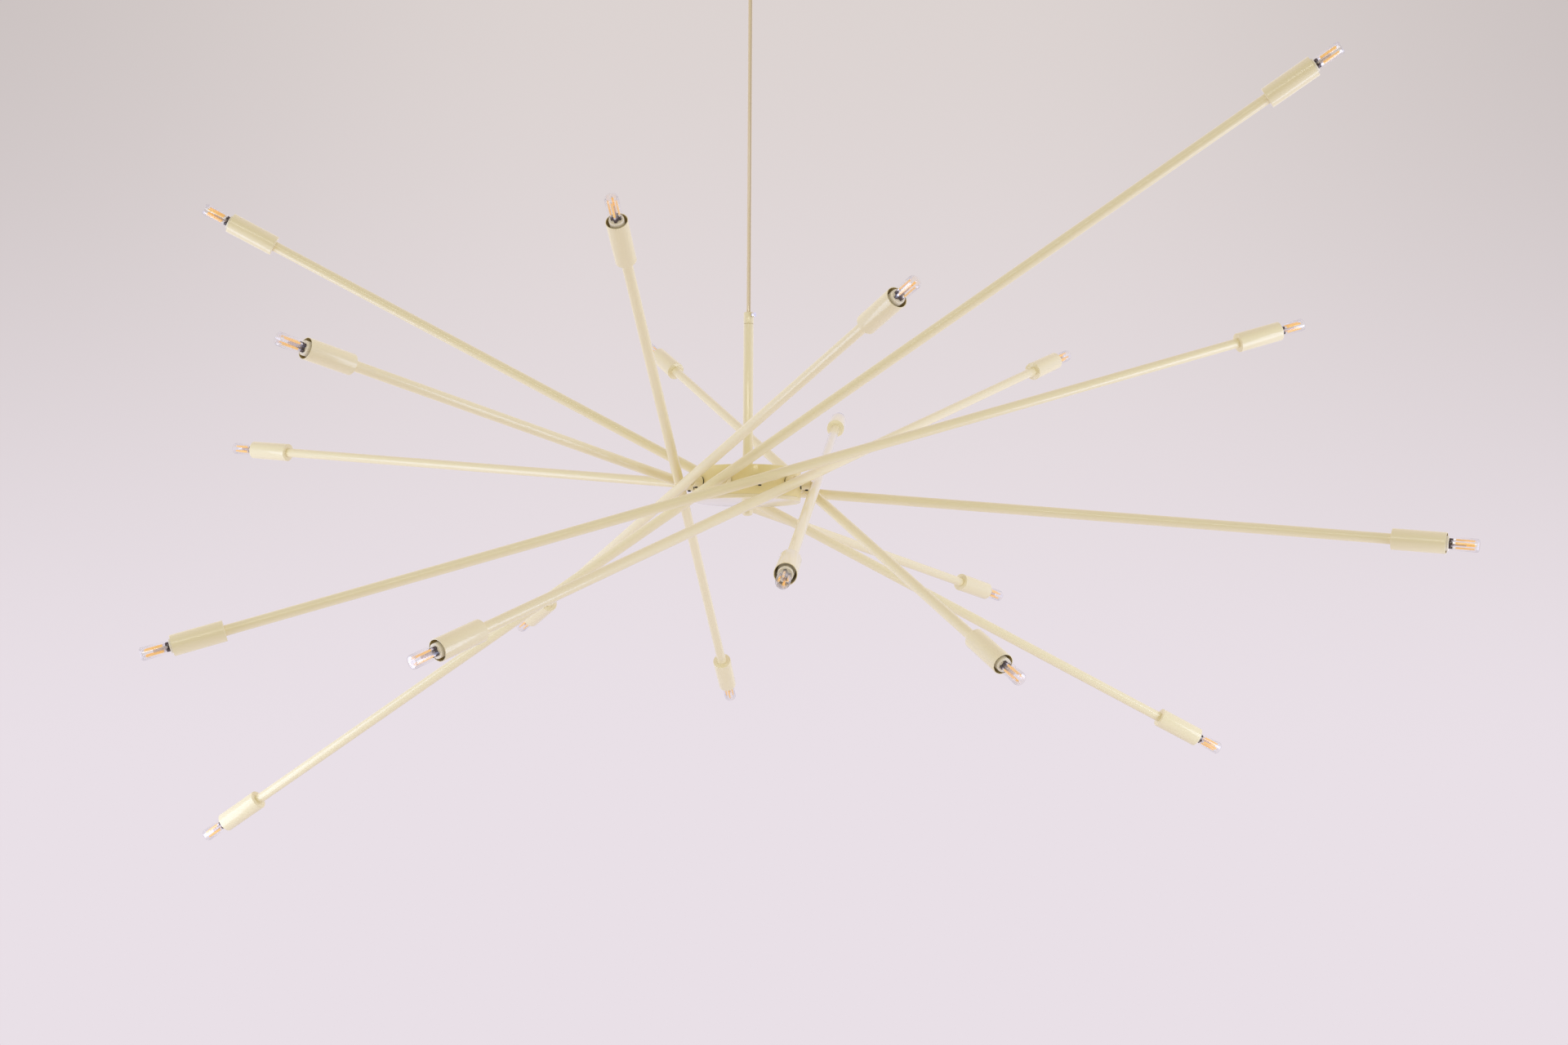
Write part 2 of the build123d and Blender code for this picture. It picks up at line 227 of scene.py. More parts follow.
rod_bore = 0.0051
canopy_low, canopy_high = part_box("ceiling_canopy")
canopy_wall = 0.0015
canopy_shoulder = 0.008
canopy = turned(
    "canopy",
    outline(
        (rod_bore, canopy_low.z, 0),
        (canopy_high.x, canopy_low.z, canopy_shoulder),
        (canopy_high.x, canopy_high.z, 0.0004),
        (canopy_high.x - canopy_wall, canopy_high.z, 0.0004),
        (canopy_high.x - canopy_wall, canopy_low.z + canopy_wall, canopy_shoulder - canopy_wall),
        (rod_bore, canopy_low.z + canopy_wall, 0),
    ),
    sides=128,
)
canopy.materials.append(cream.material)
piece("canopy", canopy, "fixture", "cream_paint", "ceiling_canopy")


# Cable grip. A turned brass sleeve under the canopy, painted with it. It screws onto the
# threaded tube, and a bright headless screw in its side clamps the cable.
grip_low, grip_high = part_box("canopy_grip")
cable_radius = 0.0028
grip_bore = cable_radius + 0.0002
grip = turned(
    "canopy_grip",
    outline(
        (grip_bore, grip_low.z, 0.0003),
        (grip_high.x, grip_low.z, 0.0015),
        (grip_high.x, grip_high.z, 0.0003),
        (grip_bore, grip_high.z, 0),
    ),
    sides=64,
)
grip.materials.append(cream.material)
piece("cable_grip", grip, "fixture", "cream_paint", "canopy_grip")

chrome = Finish("bright_screw", Metallic=1.0, Base_Color=(0.86, 0.86, 0.88, 1))
chrome.drive("Roughness", 0.06 + 0.10 * chrome.noise(900.0, 3.0))
dress(chrome, "grip_screw")


# Cable. Gold braid in a clear round jacket, with a dark strip along the side that faces front
# right. The lamp's weight pulls it straight, from the grip at the canopy down into the stem's
# collar.
cable_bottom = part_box("suspension_cable")[0].z
cable_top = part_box("suspension_cable")[1].z

jacket = Finish("cable_jacket", Coat_Weight=1.0, Coat_Roughness=0.04)
across = jacket.add("ShaderNodeSeparateXYZ", sockets={0: jacket.place}, output="X")
depth, height = across.also("Y"), across.also("Z")
round_angle = across.math("ARCTAN2", depth, across)
strands = 9.0
lay = 2600.0
braid = across.math("SINE", round_angle * strands + height * lay)
crossing = across.math("SINE", round_angle * strands - height * lay)
weave = (braid * crossing) * 0.5 + 0.5
# A dark strip runs along the side of the cable that faces front right.
strip_angle = radians(-56)
from_strip = across.math("ABSOLUTE", round_angle - strip_angle)
dark_strip = across.math("SMOOTH_MIN", 1.0, from_strip * 3.2, 0.25)
gold = jacket.blend(weave, (0.72, 0.59, 0.38, 1), (0.92, 0.80, 0.56, 1))
jacket.drive("Base Color", jacket.blend(dark_strip, (0.34, 0.26, 0.14, 1), gold))
jacket.drive("Roughness", 0.30 + 0.18 * weave)
jacket.relief(weave, 0.00006)

cable_line = bpy.data.curves.new("cable", "CURVE")
cable_line.dimensions = "3D"
cable_line.bevel_depth = cable_radius
cable_line.bevel_resolution = 8
cable_line.use_fill_caps = True
cable_run = cable_line.splines.new("NURBS")
cable_heights = (cable_bottom, (cable_bottom + cable_top) / 2, cable_top)
cable_run.points.add(len(cable_heights) - 1)
for point, z in zip(cable_run.points, cable_heights):
    point.co = (0, 0, z, 1)
cable_run.order_u = 3
cable_run.use_endpoint_u = True
cable_run.use_smooth = True
cable_line.materials.append(jacket.material)
cable = piece("cable", cable_line, "fixture", "cable_jacket", "suspension_cable")


# Stem collar and its thumb screw. The collar is turned from brass and painted. Its spigot
# goes down into the stem, which leaves a dark seam, and the bright screw holds the cable.
collar_low, collar_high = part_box("stem_collar")
stem_low, stem_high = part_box("stem_tube")
collar_seam = 0.0008
spigot_radius = 0.0049
collar = turned(
    "stem_collar",
    outline(
        (cable_radius, collar_low.z, 0),
        (spigot_radius, collar_low.z, 0.0003),
        (spigot_radius, stem_high.z + collar_seam, 0),
        (collar_high.x, stem_high.z + collar_seam, 0.0003),
        (collar_high.x, collar_high.z, 0.0016),
        (cable_radius + 0.0001, collar_high.z, 0.0003),
    ),
    sides=64,
)
collar.materials.append(cream.material)
piece("stem_collar_sleeve", collar, "fixture", "cream_paint", "stem_collar")

screw_low, screw_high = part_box("collar_screw")
screw_height = (screw_low.z + screw_high.z) / 2
screw_angle = radians(-40)
screw_facing = Vector((cos(screw_angle), sin(screw_angle), 0))
shank_radius, head_radius = 0.0015, 0.0030
screw_tip, head_start, head_end = 0.0030, 0.00735, 0.01095
dimple_mouth, dimple_floor, dimple_depth = 0.0012, 0.0009, 0.00035
thumb_screw = turned(
    "thumb_screw",
    outline(
        (0, screw_tip, 0),
        (shank_radius, screw_tip, 0),
        (shank_radius, head_start, 0),
        (head_radius, head_start, 0.0004),
        (head_radius, head_end, 0.0005),
        (dimple_mouth, head_end, 0.0002),
        (dimple_floor, head_end - dimple_depth, 0.0002),
        (0, head_end - dimple_depth, 0),
    ),
    sides=48,
)
screw_turn = screw_facing.to_track_quat("Z", "Y").to_matrix().to_4x4()
thumb_screw.transform(Matrix.Translation((0, 0, screw_height)) @ screw_turn)
thumb_screw.materials.append(chrome.material)
piece("thumb_screw", thumb_screw, "fixture", "bright_screw", "collar_screw")


# Stem. Half inch steel tube, painted. A threaded tube inside ties it to the hub, the
# cover and the finial, with a nut under the hub's top, both out of sight.
stem = turned(
    "stem",
    outline(
        (rod_bore, stem_low.z, 0),
        (stem_high.x, stem_low.z, 0),
        (stem_high.x, stem_high.z, 0.0003),
        (rod_bore, stem_high.z, 0.0003),
    ),
    sides=64,
)
stem.materials.append(cream.material)
piece("stem", stem, "fixture", "cream_paint", "stem_tube")
dress(zinc, "tie_rod", "stem_nut")


# Hub drum and its cover. The drum is a round box pressed from steel sheet, open below, its
# paint deepened to a darker yellow as painted shade. The cover is a turned, painted disc that
# closes it at a seam.
drum_low, drum_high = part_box("hub_drum")
cover_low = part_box("hub_cover")[0]
drum_wall = 0.002
hub_seam = 0.0001
drum = turned(
    "hub_drum",
    outline(
        (drum_high.x - drum_wall, drum_low.z + hub_seam, 0),
        (drum_high.x, drum_low.z + hub_seam, 0.0002),
        (drum_high.x, drum_high.z, 0.0012),
        (rod_bore, drum_high.z, 0),
        (rod_bore, drum_high.z - drum_wall, 0),
        (drum_high.x - drum_wall, drum_high.z - drum_wall, 0.001),
    ),
    sides=192,
)
# The whole drum takes that painted shade.
mark(drum, "drum_shade", lambda spot: True)
drum.materials.append(cream.material)
piece("hub", drum, "fixture", "cream_paint", "hub_drum")

cover = turned(
    "hub_cover",
    outline(
        (rod_bore, cover_low.z, 0),
        (drum_high.x, cover_low.z, 0.0015),
        (drum_high.x, drum_low.z, 0.0002),
        (rod_bore, drum_low.z, 0),
    ),
    sides=192,
)
cover.materials.append(cream.material)
piece("hub_cover_disc", cover, "fixture", "cream_paint", "hub_cover")


# Finial. A domed nut turned from brass and painted, on the threaded tube's lower end. It
# pulls the cover, the hub and the stem together.
finial_low, finial_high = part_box("finial")
finial = turned(
    "finial",
    outline(
        (0, finial_low.z, 0),
        (finial_high.x, finial_low.z, 0.0045),
        (finial_high.x, finial_high.z, 0.0004),
        (0, finial_high.z, 0),
        steps=12,
    ),
    sides=64,
)
finial.materials.append(cream.material)
piece("finial_nut", finial, "fixture", "cream_paint", "finial")


# Bosses. Ten short turned sleeves round the hub's wall, painted, each on a black nylon
# washer. Under each sits a black headless screw, which holds the arm's pin.


class Recipe(Graph):
    """A geometry tree with named inputs, which ends in one plain mesh with a finish."""

    def __init__(self, name, **inputs):
        super().__init__(bpy.data.node_groups.new(name, "GeometryNodeTree"))
        self.keys = {}
        for label, kind in (inputs | {"Finish": "NodeSocketMaterial"}).items():
            socket = self.tree.interface.new_socket(label, in_out="INPUT", socket_type=kind)
            self.keys[label] = socket.identifier
        self.tree.interface.new_socket("Shape", in_out="OUTPUT", socket_type="NodeSocketGeometry")
        self.inputs = self.add("NodeGroupInput")

    def given(self, label):
        return self.inputs.also(label)

    def instances(self, points, rotation):
        """The given piece on every point, turned."""
        wanted = {"Object": self.given("Piece")}
        shape = self.add("GeometryNodeObjectInfo", sockets=wanted, output="Geometry")
        sockets = {"Points": points, "Instance": shape, "Rotation": rotation}
        return self.add("GeometryNodeInstanceOnPoints", sockets=sockets)

    def close(self, instances):
        plain = self.add("GeometryNodeRealizeInstances", sockets={"Geometry": instances})
        sockets = {"Geometry": plain, "Material": self.given("Finish")}
        dressed = self.add("GeometryNodeSetMaterial", sockets=sockets)
        self.add("NodeGroupOutput", sockets={"Shape": dressed})

    def make(self, name, piece_mesh, finish, start=None, **sizes):
        """Run the tree for one piece and give the result as a plain mesh."""
        pattern = bpy.data.objects.new(name + "_pattern", piece_mesh)
        grower = bpy.data.objects.new(name, start or bpy.data.meshes.new(name))
        bpy.context.scene.collection.objects.link(grower)
        modifier = grower.modifiers.new("recipe", "NODES")
        modifier.node_group = self.tree
        for label, value in (sizes | {"Piece": pattern, "Finish": finish.material}).items():
            modifier[self.keys[label]] = value
        shaped = grower.evaluated_get(bpy.context.evaluated_depsgraph_get())
        mesh = bpy.data.meshes.new_from_object(shaped)
        grower.modifiers.remove(modifier)
        bpy.data.objects.remove(grower)
        bpy.data.objects.remove(pattern)
        mesh.name = name
        return mesh


def seats(name, places, facings):
    """Points that carry the direction in which a piece on them faces."""
    mesh = bpy.data.meshes.new(name)
    mesh.from_pydata(places, [], [])
    facing = mesh.attributes.new("facing", "FLOAT_VECTOR", "POINT")
    for entry, direction in zip(facing.data, facings):
        entry.vector = direction
    return mesh


on_seats = Recipe("on_seats", Seats="NodeSocketGeometry", Piece="NodeSocketObject")
vector = {"data_type": "FLOAT_VECTOR"}
facing = on_seats.add("GeometryNodeInputNamedAttribute", vector, {"Name": "facing"})
seat_turn = on_seats.add("FunctionNodeAlignRotationToVector", {"axis": "Z"}, {"Vector": facing})
on_seats.close(on_seats.instances(on_seats.given("Seats"), seat_turn))

arms = [joint["child"] for joint in frame["joints"]]
pin_places = [Vector(joint["pos_m"]) for joint in frame["joints"]]
pin_directions = [Vector(joint["axis"]) for joint in frame["joints"]]
arm_height = pin_places[0].z
hub_radius = drum_high.x
boss_start = hub_radius + 0.0013
boss_end = boss_start + 0.0115
boss_radius = 0.0068
boss_bore = 0.00405
neck_radius = 0.0050
neck_start = hub_radius - 0.004
hub_middles = [Vector((0, 0, arm_height))] * len(arms)

boss = turned(
    "boss",
    outline(
        (boss_bore, neck_start, 0),
        (neck_radius, neck_start, 0),
        (neck_radius, boss_start, 0),
        (boss_radius, boss_start, 0.0003),
        (boss_radius, boss_end, 0.0007),
        (boss_bore, boss_end, 0.0002),
    ),
    sides=64,
)
boss_seats = seats("boss_seats", hub_middles, pin_directions)
bosses = on_seats.make("bosses", boss, cream, boss_seats)
piece("bosses", bosses, "fixture", "cream_paint", "arm_bosses")

nylon = Finish("black_nylon", Base_Color=(0.012, 0.012, 0.013, 1))
nylon.drive("Roughness", 0.45 + 0.2 * nylon.noise(700.0))
nylon.relief(nylon.noise(1500.0), 0.00002)
washer_radius = 0.0062
washer_start = hub_radius - 0.0006
washer = turned(
    "washer",
    outline(
        (neck_radius, washer_start, 0),
        (washer_radius, washer_start, 0),
        (washer_radius, boss_start, 0.0002),
        (neck_radius, boss_start, 0),
    ),
    sides=48,
)
washer_seats = seats("washer_seats", hub_middles, pin_directions)
washers = on_seats.make("washers", washer, nylon, washer_seats)
piece("washers", washers, "fixture", "black_nylon", "boss_washers")

oxide = Finish("black_oxide", Metallic=0.6, Base_Color=(0.020, 0.019, 0.019, 1))
oxide.drive("Roughness", 0.30 + 0.25 * oxide.noise(1100.0, 3.0))
set_screw_radius = 0.0020
set_screw_tip = 0.004
set_screw_end = boss_radius + 0.0014
socket_mouth, socket_floor, socket_depth = 0.0011, 0.0010, 0.0014
set_screw_out = hub_radius + 0.0074
set_screw = turned(
    "set_screw",
    outline(
        (0, set_screw_tip, 0),
        (set_screw_radius, set_screw_tip, 0),
        (set_screw_radius, set_screw_end, 0.0003),
        (socket_mouth, set_screw_end, 0.0002),
        (socket_floor, set_screw_end - socket_depth, 0),
        (0, set_screw_end - socket_depth, 0),
    ),
    sides=24,
)
screw_places = [middle + out * set_screw_out for middle, out in zip(hub_middles, pin_directions)]
screw_seats = seats("screw_seats", screw_places, [Vector((0, 0, -1))] * len(arms))
set_screws = on_seats.make("set_screws", set_screw, oxide, screw_seats)
piece("set_screws", set_screws, "fixture", "black_steel", "boss_screws")
dress(zinc, "boss_nuts")


# Arms. Straight half inch steel tubes, painted, each with a hollow pin brazed to its
# middle. The pin turns in the boss, so every arm stands at a tilt of its own.
arm_tilts = (17, 21, 17, 28.5, 6, 26.5, 10.5, 32.5, 19.5, 31.5)
arm_reaches = (0.655, 0.545, 0.405, 0.415, 0.775)
arm_radius = 0.00635
arm_end_in_cup = 0.007
arm_bore = 0.0051
pin_radius = 0.004
pin_bore = 0.0025
pin_length = 0.02755


def arm_place(place, pin, tilt):
    """Where an arm's own frame is: X along the pin, Z along the arm."""
    rise = Vector((0, 0, 1))
    along = rise.cross(pin) * cos(radians(tilt)) + rise * sin(radians(tilt))
    return Matrix.Translation(place) @ Matrix((pin, along.cross(pin), along)).transposed().to_4x4()


places = [arm_place(*arm) for arm in zip(pin_places, pin_directions, arm_tilts)]
reaches = [arm_reaches[index % len(arm_reaches)] for index in range(len(arms))]


def fused(name, *meshes):
    """Several meshes as one."""
    whole = bmesh.new()
    for mesh in meshes:
        whole.from_mesh(mesh)
    joined = bpy.data.meshes.new(name)
    whole.to_mesh(joined)
    whole.free()
    return joined


for arm, place, reach in zip(arms, places, reaches):
    end = reach + arm_end_in_cup
    tube_profile = outline(
        (arm_bore, -end, 0),
        (arm_radius, -end, 0.0003),
        (arm_radius, end, 0.0003),
        (arm_bore, end, 0),
    )
    pin_profile = outline(
        (pin_bore, 0, 0),
        (pin_radius, 0, 0),
        (pin_radius, pin_length, 0.0003),
        (pin_bore, pin_length, 0),
    )
    tube = turned("tube", tube_profile, sides=48)
    pin = turned("pin", pin_profile, sides=32)
    pin.transform(Matrix.Rotation(-pi / 2, 4, "Y"))
    arm_tube = fused(arm + "_tube", tube, pin)
    arm_tube.transform(place)
    arm_tube.materials.append(cream.material)
    piece(arm + "_tube", arm_tube, arm, "cream_paint", arm.replace("arm_", "arm_tube_"))


# Lamp cups. Turned steel sleeves, painted, brazed onto both ends of every arm with their
# open mouths outwards. Inside, the paint is darkened to brown as painted shade.
both_ends = Recipe(
    "both_ends",
    Reach="NodeSocketFloat",
    Far_turn="NodeSocketFloat",
    Near_turn="NodeSocketFloat",
    Piece="NodeSocketObject",
)
far_end = both_ends.add("ShaderNodeCombineXYZ", sockets={"Z": both_ends.given("Reach")})
near_end = both_ends.add("ShaderNodeCombineXYZ", sockets={"Z": both_ends.given("Reach") * -1.0})
ends = {"Count": 2, 2: near_end, 3: far_end}
two_points = both_ends.add("GeometryNodeMeshLine", {"mode": "END_POINTS"}, ends)
outwards = both_ends.add("GeometryNodeInputPosition")
end_turn = both_ends.add("FunctionNodeAlignRotationToVector", {"axis": "Z"}, {"Vector": outwards})
which_end = both_ends.add("GeometryNodeInputIndex")
turn_gained = both_ends.given("Far_turn") - both_ends.given("Near_turn")
own_turn = both_ends.given("Near_turn") + which_end * turn_gained
roll_round_z = {"Axis": (0, 0, 1), "Angle": own_turn}
own_roll = both_ends.add("FunctionNodeAxisAngleToRotation", sockets=roll_round_z)
turns = {0: end_turn, 1: own_roll}
whole_turn = both_ends.add("FunctionNodeRotateRotation", {"rotation_space": "LOCAL"}, turns)
both_ends.close(both_ends.instances(two_points, whole_turn))

# How far, in degrees, the bulbs at the raised and the lowered end of each arm are turned.
bulb_turns = (
    (62, 36), (14, 60), (5, 0), (37, 18), (47, 83),
    (15, 30), (23, 72), (2, 84), (28, 67), (56, 22),
)


def on_arms(name, mesh, finish, slot, node=None):
    """Set one piece on both ends of every arm, in the place of that arm's CAD node."""
    for arm, place, reach, (far_turn, near_turn) in zip(arms, places, reaches, bulb_turns):
        turns = {"Far_turn": radians(far_turn), "Near_turn": radians(near_turn)}
        pair = both_ends.make(arm + "_" + name, mesh, finish, Reach=reach, **turns)
        pair.transform(place)
        nodes = [arm.replace("arm_", node)] if node else []
        piece(arm + "_" + name, pair, arm, slot, *nodes)


cup_radius = 0.0125
cup_length = 0.0605
cup_bore = 0.0116
cup_back = 0.002
cup = turned(
    "cup",
    outline(
        (arm_radius, 0, 0),
        (cup_radius, 0, 0.0009),
        (cup_radius, cup_length, 0.0003),
        (cup_bore, cup_length, 0.0003),
        (cup_bore, cup_back, 0.0005),
        (arm_radius, cup_back, 0),
    ),
    sides=72,
)
hair = 0.0001
# Mask of the cup's bore, where the paint is darkened as painted shade.
mark(cup, "inside", lambda spot: spot.xy.length < cup_bore + hair and spot.z > cup_back - hair)
on_arms("cups", cup, cream, "cream_paint", "lamp_cups_")


# Lampholders and bulb bases. Pressed off-white ceramic. The holder is screwed to the
# arm's end, out of sight in the cup, and the bulb's round base plugs into it.
# The ceramic glows faintly in its own colour: painted light.
ceramic = Finish("white_ceramic", IOR=1.5, Emission_Strength=0.10)
grit = ceramic.noise(900.0, 3.0)
bisque_and_glow = ceramic.blend(grit, (0.82, 0.76, 0.60, 1), (0.92, 0.87, 0.72, 1))
ceramic.drive("Base Color", bisque_and_glow)
ceramic.drive("Emission Color", bisque_and_glow)
ceramic.drive("Roughness", 0.42 + 0.2 * grit)
ceramic.relief(grit, 0.00001)

base_radius = 0.0084
base_face = cup_length + 0.0025
base_back = base_face - 0.0145
holder_radius = 0.0093
holder_back = base_back - 0.018
stub_radius = 0.00575
holder = turned(
    "lampholder",
    outline(
        (0, arm_end_in_cup, 0),
        (stub_radius, arm_end_in_cup, 0),
        (stub_radius, holder_back, 0),
        (holder_radius, holder_back, 0.0006),
        (holder_radius, base_back, 0.0006),
        (base_radius, base_back, 0.0003),
        (base_radius, base_face, 0.0005),
        (0, base_face, 0),
    ),
    sides=64,
)
on_arms("lampholders", holder, ceramic, "white_ceramic", "lampholders_")


# Bulb insides. Four amber filament strips stand in a ring round a frosted glass post, with
# bright wires at both ends. Dark steel clips on a dark disc hold them at the base.


def slab(name, width, depth, low, high, rounding):
    """A bar with rounded edges that stands on Z between two heights."""
    body = bmesh.new()
    bmesh.ops.create_cube(body)
    size = Matrix.Diagonal((depth, width, high - low, 1))
    middle = Matrix.Translation((0, 0, (low + high) / 2))
    bmesh.ops.transform(body, matrix=middle @ size, verts=body.verts)
    edges = body.edges[:]
    bmesh.ops.bevel(body, geom=edges, offset=rounding, segments=3, affect="EDGES", profile=0.5)
    mesh = bpy.data.meshes.new(name)
    body.to_mesh(mesh)
    body.free()
    mesh.shade_smooth()
    mesh.set_sharp_from_angle(angle=radians(50))
    return mesh


cage = Recipe("cage", Strips="NodeSocketInt", Ring="NodeSocketFloat", Piece="NodeSocketObject")
ring = {"Vertices": cage.given("Strips"), "Radius": cage.given("Ring")}
ring_points = cage.add("GeometryNodeMeshCircle", sockets=ring)
from_middle = cage.add("GeometryNodeInputPosition")
strip_turn = cage.add("FunctionNodeAlignRotationToVector", {"axis": "X"}, {"Vector": from_middle})
cage.close(cage.instances(ring_points, strip_turn))

strip_count = 4
strip_ring = 0.0047
strip_low = base_face + 0.0070
strip_high = base_face + 0.0280

# The strips glow faintly in their amber: painted light, as the bulbs are not switched on.
phosphor = Finish("filament_phosphor", Emission_Strength=0.26)
along_strip = phosphor.noise(420.0, 2.0)
amber_and_glow = phosphor.blend(along_strip, (0.89, 0.50, 0.12, 1), (0.94, 0.61, 0.20, 1))
phosphor.drive("Base Color", amber_and_glow)
phosphor.drive("Emission Color", amber_and_glow)
phosphor.drive("Roughness", 0.45 + 0.15 * along_strip)
phosphor.relief(phosphor.noise(2200.0, 1.0), 0.00004)
strip = slab("strip", width=0.0024, depth=0.0019, low=strip_low, high=strip_high, rounding=0.0007)
strips = cage.make("strips", strip, phosphor, Strips=strip_count, Ring=strip_ring)
on_arms("filaments", strips, phosphor, "clear_glass")

frosted = Finish("frosted_post", IOR=1.4)
streak = frosted.noise(600.0, 2.0)
frosted.drive("Base Color", frosted.blend(streak, (0.62, 0.55, 0.54, 1), (0.76, 0.69, 0.69, 1)))
frosted.drive("Roughness", 0.35 + 0.15 * streak)
frosted.drive("Alpha", 0.42 + 0.2 * streak)


def plug(name, radius, top, rounding):
    """A round plug that stands on the bulb base."""
    corners = ((0, base_face, 0), (radius, base_face, 0), (radius, top, rounding), (0, top, 0))
    return turned(name, outline(*corners), sides=32)


post = plug("post", radius=0.0021, top=base_face + 0.0190, rounding=0.0008)
on_arms("posts", post, frosted, "clear_glass")

clip_steel = Finish("clip_steel", Metallic=0.8, Base_Color=(0.075, 0.052, 0.050, 1))
clip_steel.drive("Roughness", 0.30 + 0.2 * clip_steel.noise(900.0, 3.0))
clip_low = base_face - 0.0002
clip_high = base_face + 0.0042
clip = slab("clip", width=0.0033, depth=0.0024, low=clip_low, high=clip_high, rounding=0.0003)
clips = cage.make("clips", clip, clip_steel, Strips=strip_count, Ring=strip_ring)
on_arms("clips", clips, clip_steel, "black_steel")
press = plug("press", radius=0.0038, top=base_face + 0.0022, rounding=0.0005)
on_arms("presses", press, clip_steel, "black_steel")

nickel = Finish("nickel_wire", Metallic=1.0, Base_Color=(0.80, 0.78, 0.80, 1))
nickel.drive("Roughness", 0.26 + 0.2 * nickel.noise(900.0, 2.0))
lap = 0.0006
foot_low = base_face + 0.0040
tab_high = strip_high + 0.0024
foot_high = strip_low + lap
tab_low = strip_high - lap
foot = slab("foot", width=0.0022, depth=0.0016, low=foot_low, high=foot_high, rounding=0.0002)
tab = slab("tab", width=0.0015, depth=0.0006, low=tab_low, high=tab_high, rounding=0.00015)
strip_ends = fused("strip_ends", foot, tab)
wires = cage.make("wires", strip_ends, nickel, Strips=strip_count, Ring=strip_ring)
on_arms("wires", wires, nickel, "bright_screw")


# Bulb glass. Clear drawn tube with a slightly domed end and thick walls, cemented to the
# ceramic base. Its bent edge at the end is painted dark where it is seen edge on, as painted shade
# for the dark rim of clear glass.
glass_radius = 0.00775
glass_bore = 0.00635
glass_foot = base_face + 0.00005
glass_end = base_face + 0.0335
end_wall = 0.0018
dome_rise = 0.0008
crown_radius = 0.0045
crown_drop = 0.0003
bend_length = 0.0036
bend_inside = 0.0048
clear = Finish("clear_glass", Specular_Tint=(0.92, 0.92, 0.94, 1))
bend = clear.add("ShaderNodeAttribute", {"attribute_name": "bend"}, output="Fac")
slant = clear.add("ShaderNodeLayerWeight", sockets={"Blend": 0.5}, output="Facing")
# Where the bent end is seen edge on, the glass is painted dark and dull: painted shade.
painted_edge_shade = bend * slant.math("POWER", slant, 3.0)
clear.drive("Base Color", clear.blend(painted_edge_shade, (0.97, 0.97, 0.99, 1), (0.14, 0.13, 0.15, 1)))
clear.drive("Metallic", 1.0 - painted_edge_shade)
clear.drive("Roughness", 0.10 + 0.06 * clear.noise(60.0))
gloss = 0.016 + 0.12 * slant.math("POWER", slant, 8.0) + 0.06 * bend + painted_edge_shade
through = clear.add("ShaderNodeBsdfTransparent", sockets={"Color": (0.998, 0.998, 0.998, 1)})
sheen = Value(clear, clear.shader.outputs[0])
thin_wall = clear.add("ShaderNodeMixShader", sockets={0: gloss, 1: through, 2: sheen})
clear.tree.links.new(thin_wall.socket, clear.tree.nodes["Material Output"].inputs["Surface"])
glass = turned(
    "glass",
    outline(
        (glass_bore, glass_foot, 0),
        (glass_radius, glass_foot, 0),
        (glass_radius, glass_end - dome_rise, 0.0022),
        (crown_radius, glass_end - crown_drop, 0.0100),
        (0, glass_end, 0),
        (0, glass_end - end_wall, 0),
        (glass_bore, glass_end - end_wall, 0.0010),
        steps=8,
    ),
    sides=64,
)
mark(glass, "bend", lambda spot: spot.z > glass_end - bend_length and spot.xy.length > bend_inside)
on_arms("glasses", glass, clear, "clear_glass", "bulbs_")


# Studio. A plain pale floor below the lamp and a pale wall all round, darker towards the top
# and painted darker in its upper corners as shade. Strip lights stand low at both sides and
# over the camera, and one thin strip draws the paint's gloss.
floor_mesh = bpy.data.meshes.new("floor")
floor_height = -2.8
floor_half = 4.6
corner_signs = ((-1, -1), (1, -1), (1, 1), (-1, 1))
floor_corners = [(x * floor_half, y * floor_half, floor_height) for x, y in corner_signs]
floor_mesh.from_pydata(floor_corners, [], [(0, 1, 2, 3)])
floor = bpy.data.objects.new("floor", floor_mesh)
bpy.context.scene.collection.objects.link(floor)
pale = Finish("pale_floor", Roughness=0.8)
pale.drive("Base Color", pale.blend(pale.noise(3.0), (0.84, 0.81, 0.82, 1), (0.87, 0.84, 0.85, 1)))
floor_mesh.materials.append(pale.material)

surround = bpy.data.worlds.new("surround")
surround.use_nodes = True
bpy.context.scene.world = surround
room = Graph(surround.node_tree)
direction = room.add("ShaderNodeTexCoord", output="Generated")
sideways = room.add("ShaderNodeSeparateXYZ", sockets={0: direction})
backwards, upwards = sideways.also("Y"), sideways.also("Z")


def towards(axis, start, end):
    """A mask that rises from 0 to 1 as the direction turns from start to end."""
    smooth = {"interpolation_type": "SMOOTHSTEP"}
    return room.add("ShaderNodeMapRange", smooth, {0: axis, 1: start, 2: end})


rise = towards(upwards, -0.05, 0.36)
# The wall that the camera sees darkens towards its upper corners: painted shade.
corner = towards(sideways.math("ABSOLUTE", sideways + 0.04), 0.08, 0.46)
wall = room.blend(rise, (0.815, 0.745, 0.80, 1), (0.715, 0.652, 0.635, 1))
wall = room.blend(rise * corner * 0.27, wall, (0.15, 0.12, 0.13, 1))
glow = room.blend(towards(upwards, -0.35, 0.35), (0.34, 0.24, 0.06, 1), (0.70, 0.68, 0.47, 1))
glow = room.blend(towards(backwards, -0.6, 0.6), glow, (1.08, 0.99, 0.93, 1))
glow = room.blend(towards(backwards, 0.75, 0.98), glow, (0.75, 0.71, 0.89, 1))
glow = room.blend(towards(upwards, 0.55, 0.90), glow, (0.79, 0.70, 0.81, 1))
glow = room.blend(towards(sideways, 0.70, 0.95), glow, (0.80, 0.77, 1.02, 1))
glow = room.blend(towards(sideways, -0.70, -0.95), glow, (0.73, 0.70, 0.93, 1))
seen = room.add("ShaderNodeLightPath", output="Is Camera Ray")
backdrop = surround.node_tree.nodes["Background"]
surround.node_tree.links.new(room.blend(seen, glow, wall).socket, backdrop.inputs["Color"])


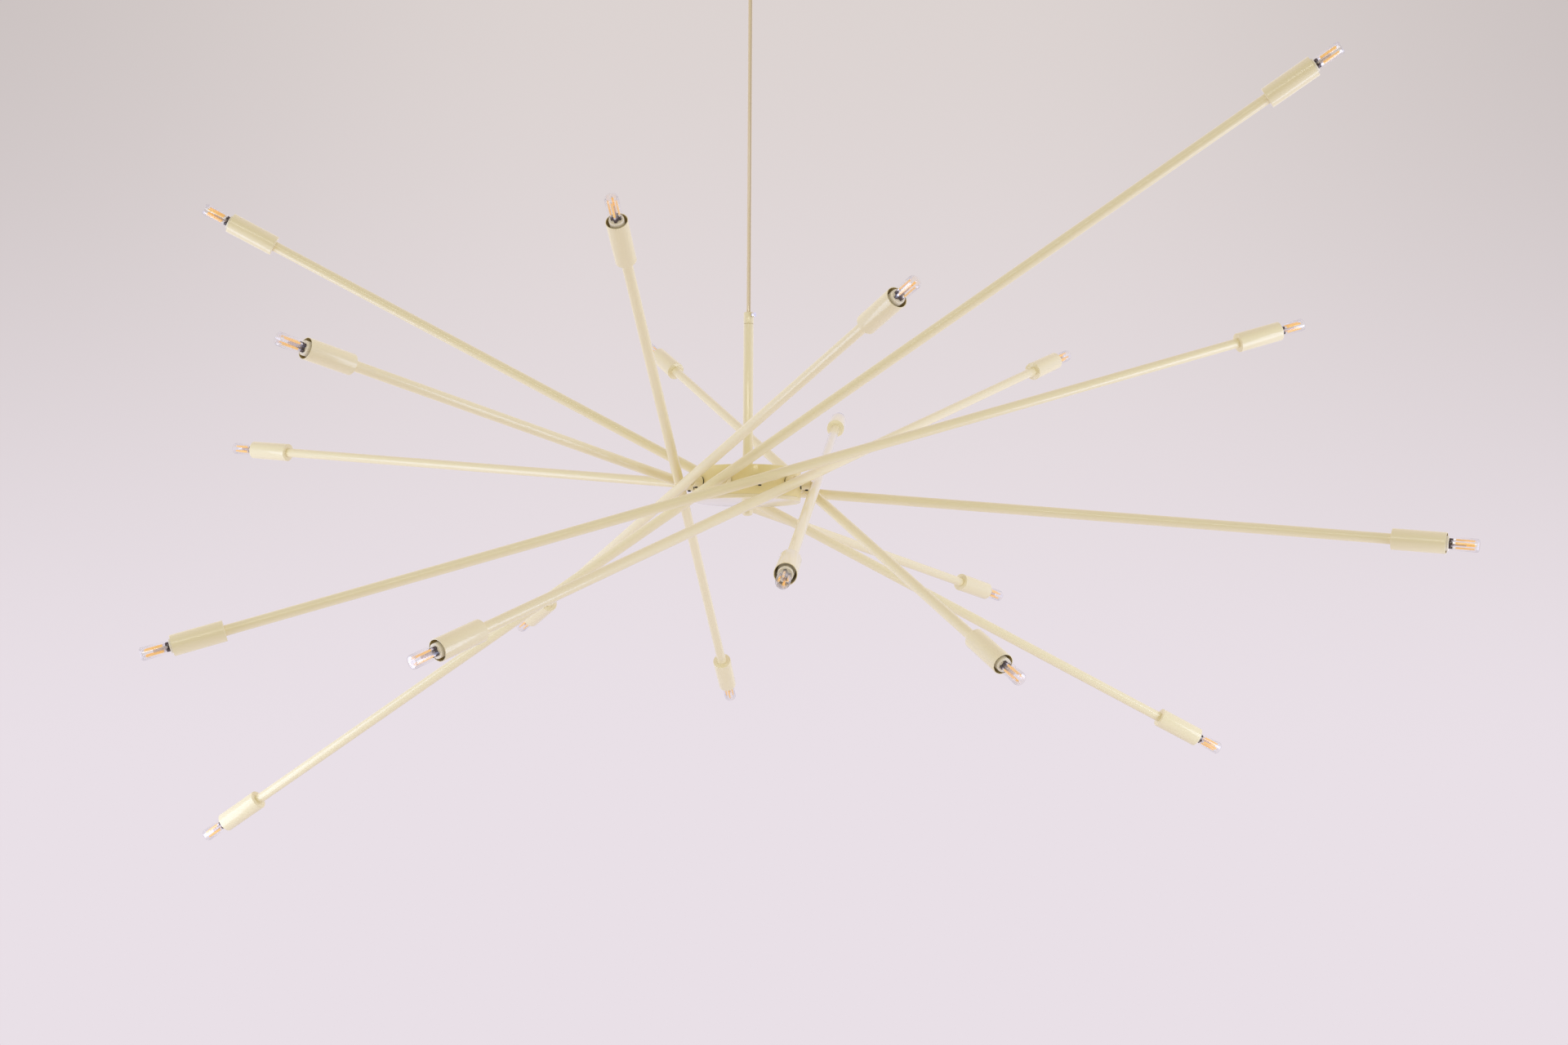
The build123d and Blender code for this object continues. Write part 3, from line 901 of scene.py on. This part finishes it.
def soft_light(name, place, aim, width, height, power, colour):
    """A flat light out of the camera's sight. The power is in watts."""
    lamp = bpy.data.lights.new(name, "AREA")
    lamp.shape = "RECTANGLE"
    lamp.size = width
    lamp.size_y = height
    lamp.energy = power
    lamp.color = colour
    stand = bpy.data.objects.new(name, lamp)
    stand.location = place
    stand.rotation_euler = (Vector(aim) - Vector(place)).to_track_quat("-Z", "Y").to_euler()
    stand.visible_camera = False
    bpy.context.scene.collection.objects.link(stand)
    return stand


daylight = (0.62, 0.72, 1.0)
lamp_white = (1.0, 0.98, 0.94)
soft_light(
    "right_strip", (1.60, -0.45, -1.20), (0.2, 0.5, -0.7),
    width=0.60, height=1.4, power=10.8, colour=daylight,
)
soft_light(
    "left_strip", (-1.42, -0.35, -1.28), (-0.2, 0.5, -0.7),
    width=0.60, height=1.4, power=9.6, colour=daylight,
)
soft_light(
    "camera_strip", (-0.70, -2.65, 0.40), (-0.2, 0, -0.7),
    width=2.2, height=0.20, power=3.6, colour=daylight,
)
high_line = soft_light(
    "high_line", (-0.1, -2.6, -0.10), (0, 0, -0.75),
    width=2.6, height=0.18, power=9.6, colour=lamp_white,
)
high_line.visible_diffuse = False


# Camera. It stands where the photograph was taken, slightly below the hub and looking a
# little up. It was found together with the arms' tilts, by a fit to the photograph.
camera_lens = 47.14
camera_place = Vector((0.1568, -2.5670, -0.9674))
pitch, roll, yaw = 0.07759, 0.004375, -0.043135
forward = Vector((sin(yaw) * cos(pitch), cos(yaw) * cos(pitch), sin(pitch)))
level_right = Vector((cos(yaw), -sin(yaw), 0))
level_up = level_right.cross(forward)
right = cos(roll) * level_right + sin(roll) * level_up
up = cos(roll) * level_up - sin(roll) * level_right
lens = bpy.data.cameras.new("camera")
lens.sensor_width = 36.0
lens.lens = camera_lens
camera = bpy.data.objects.new("camera", lens)
camera_turn = Matrix((right, up, -forward)).transposed().to_4x4()
camera.matrix_world = Matrix.Translation(camera_place) @ camera_turn
bpy.context.scene.collection.objects.link(camera)
bpy.context.scene.camera = camera
bpy.context.scene.view_settings.view_transform = "Standard"
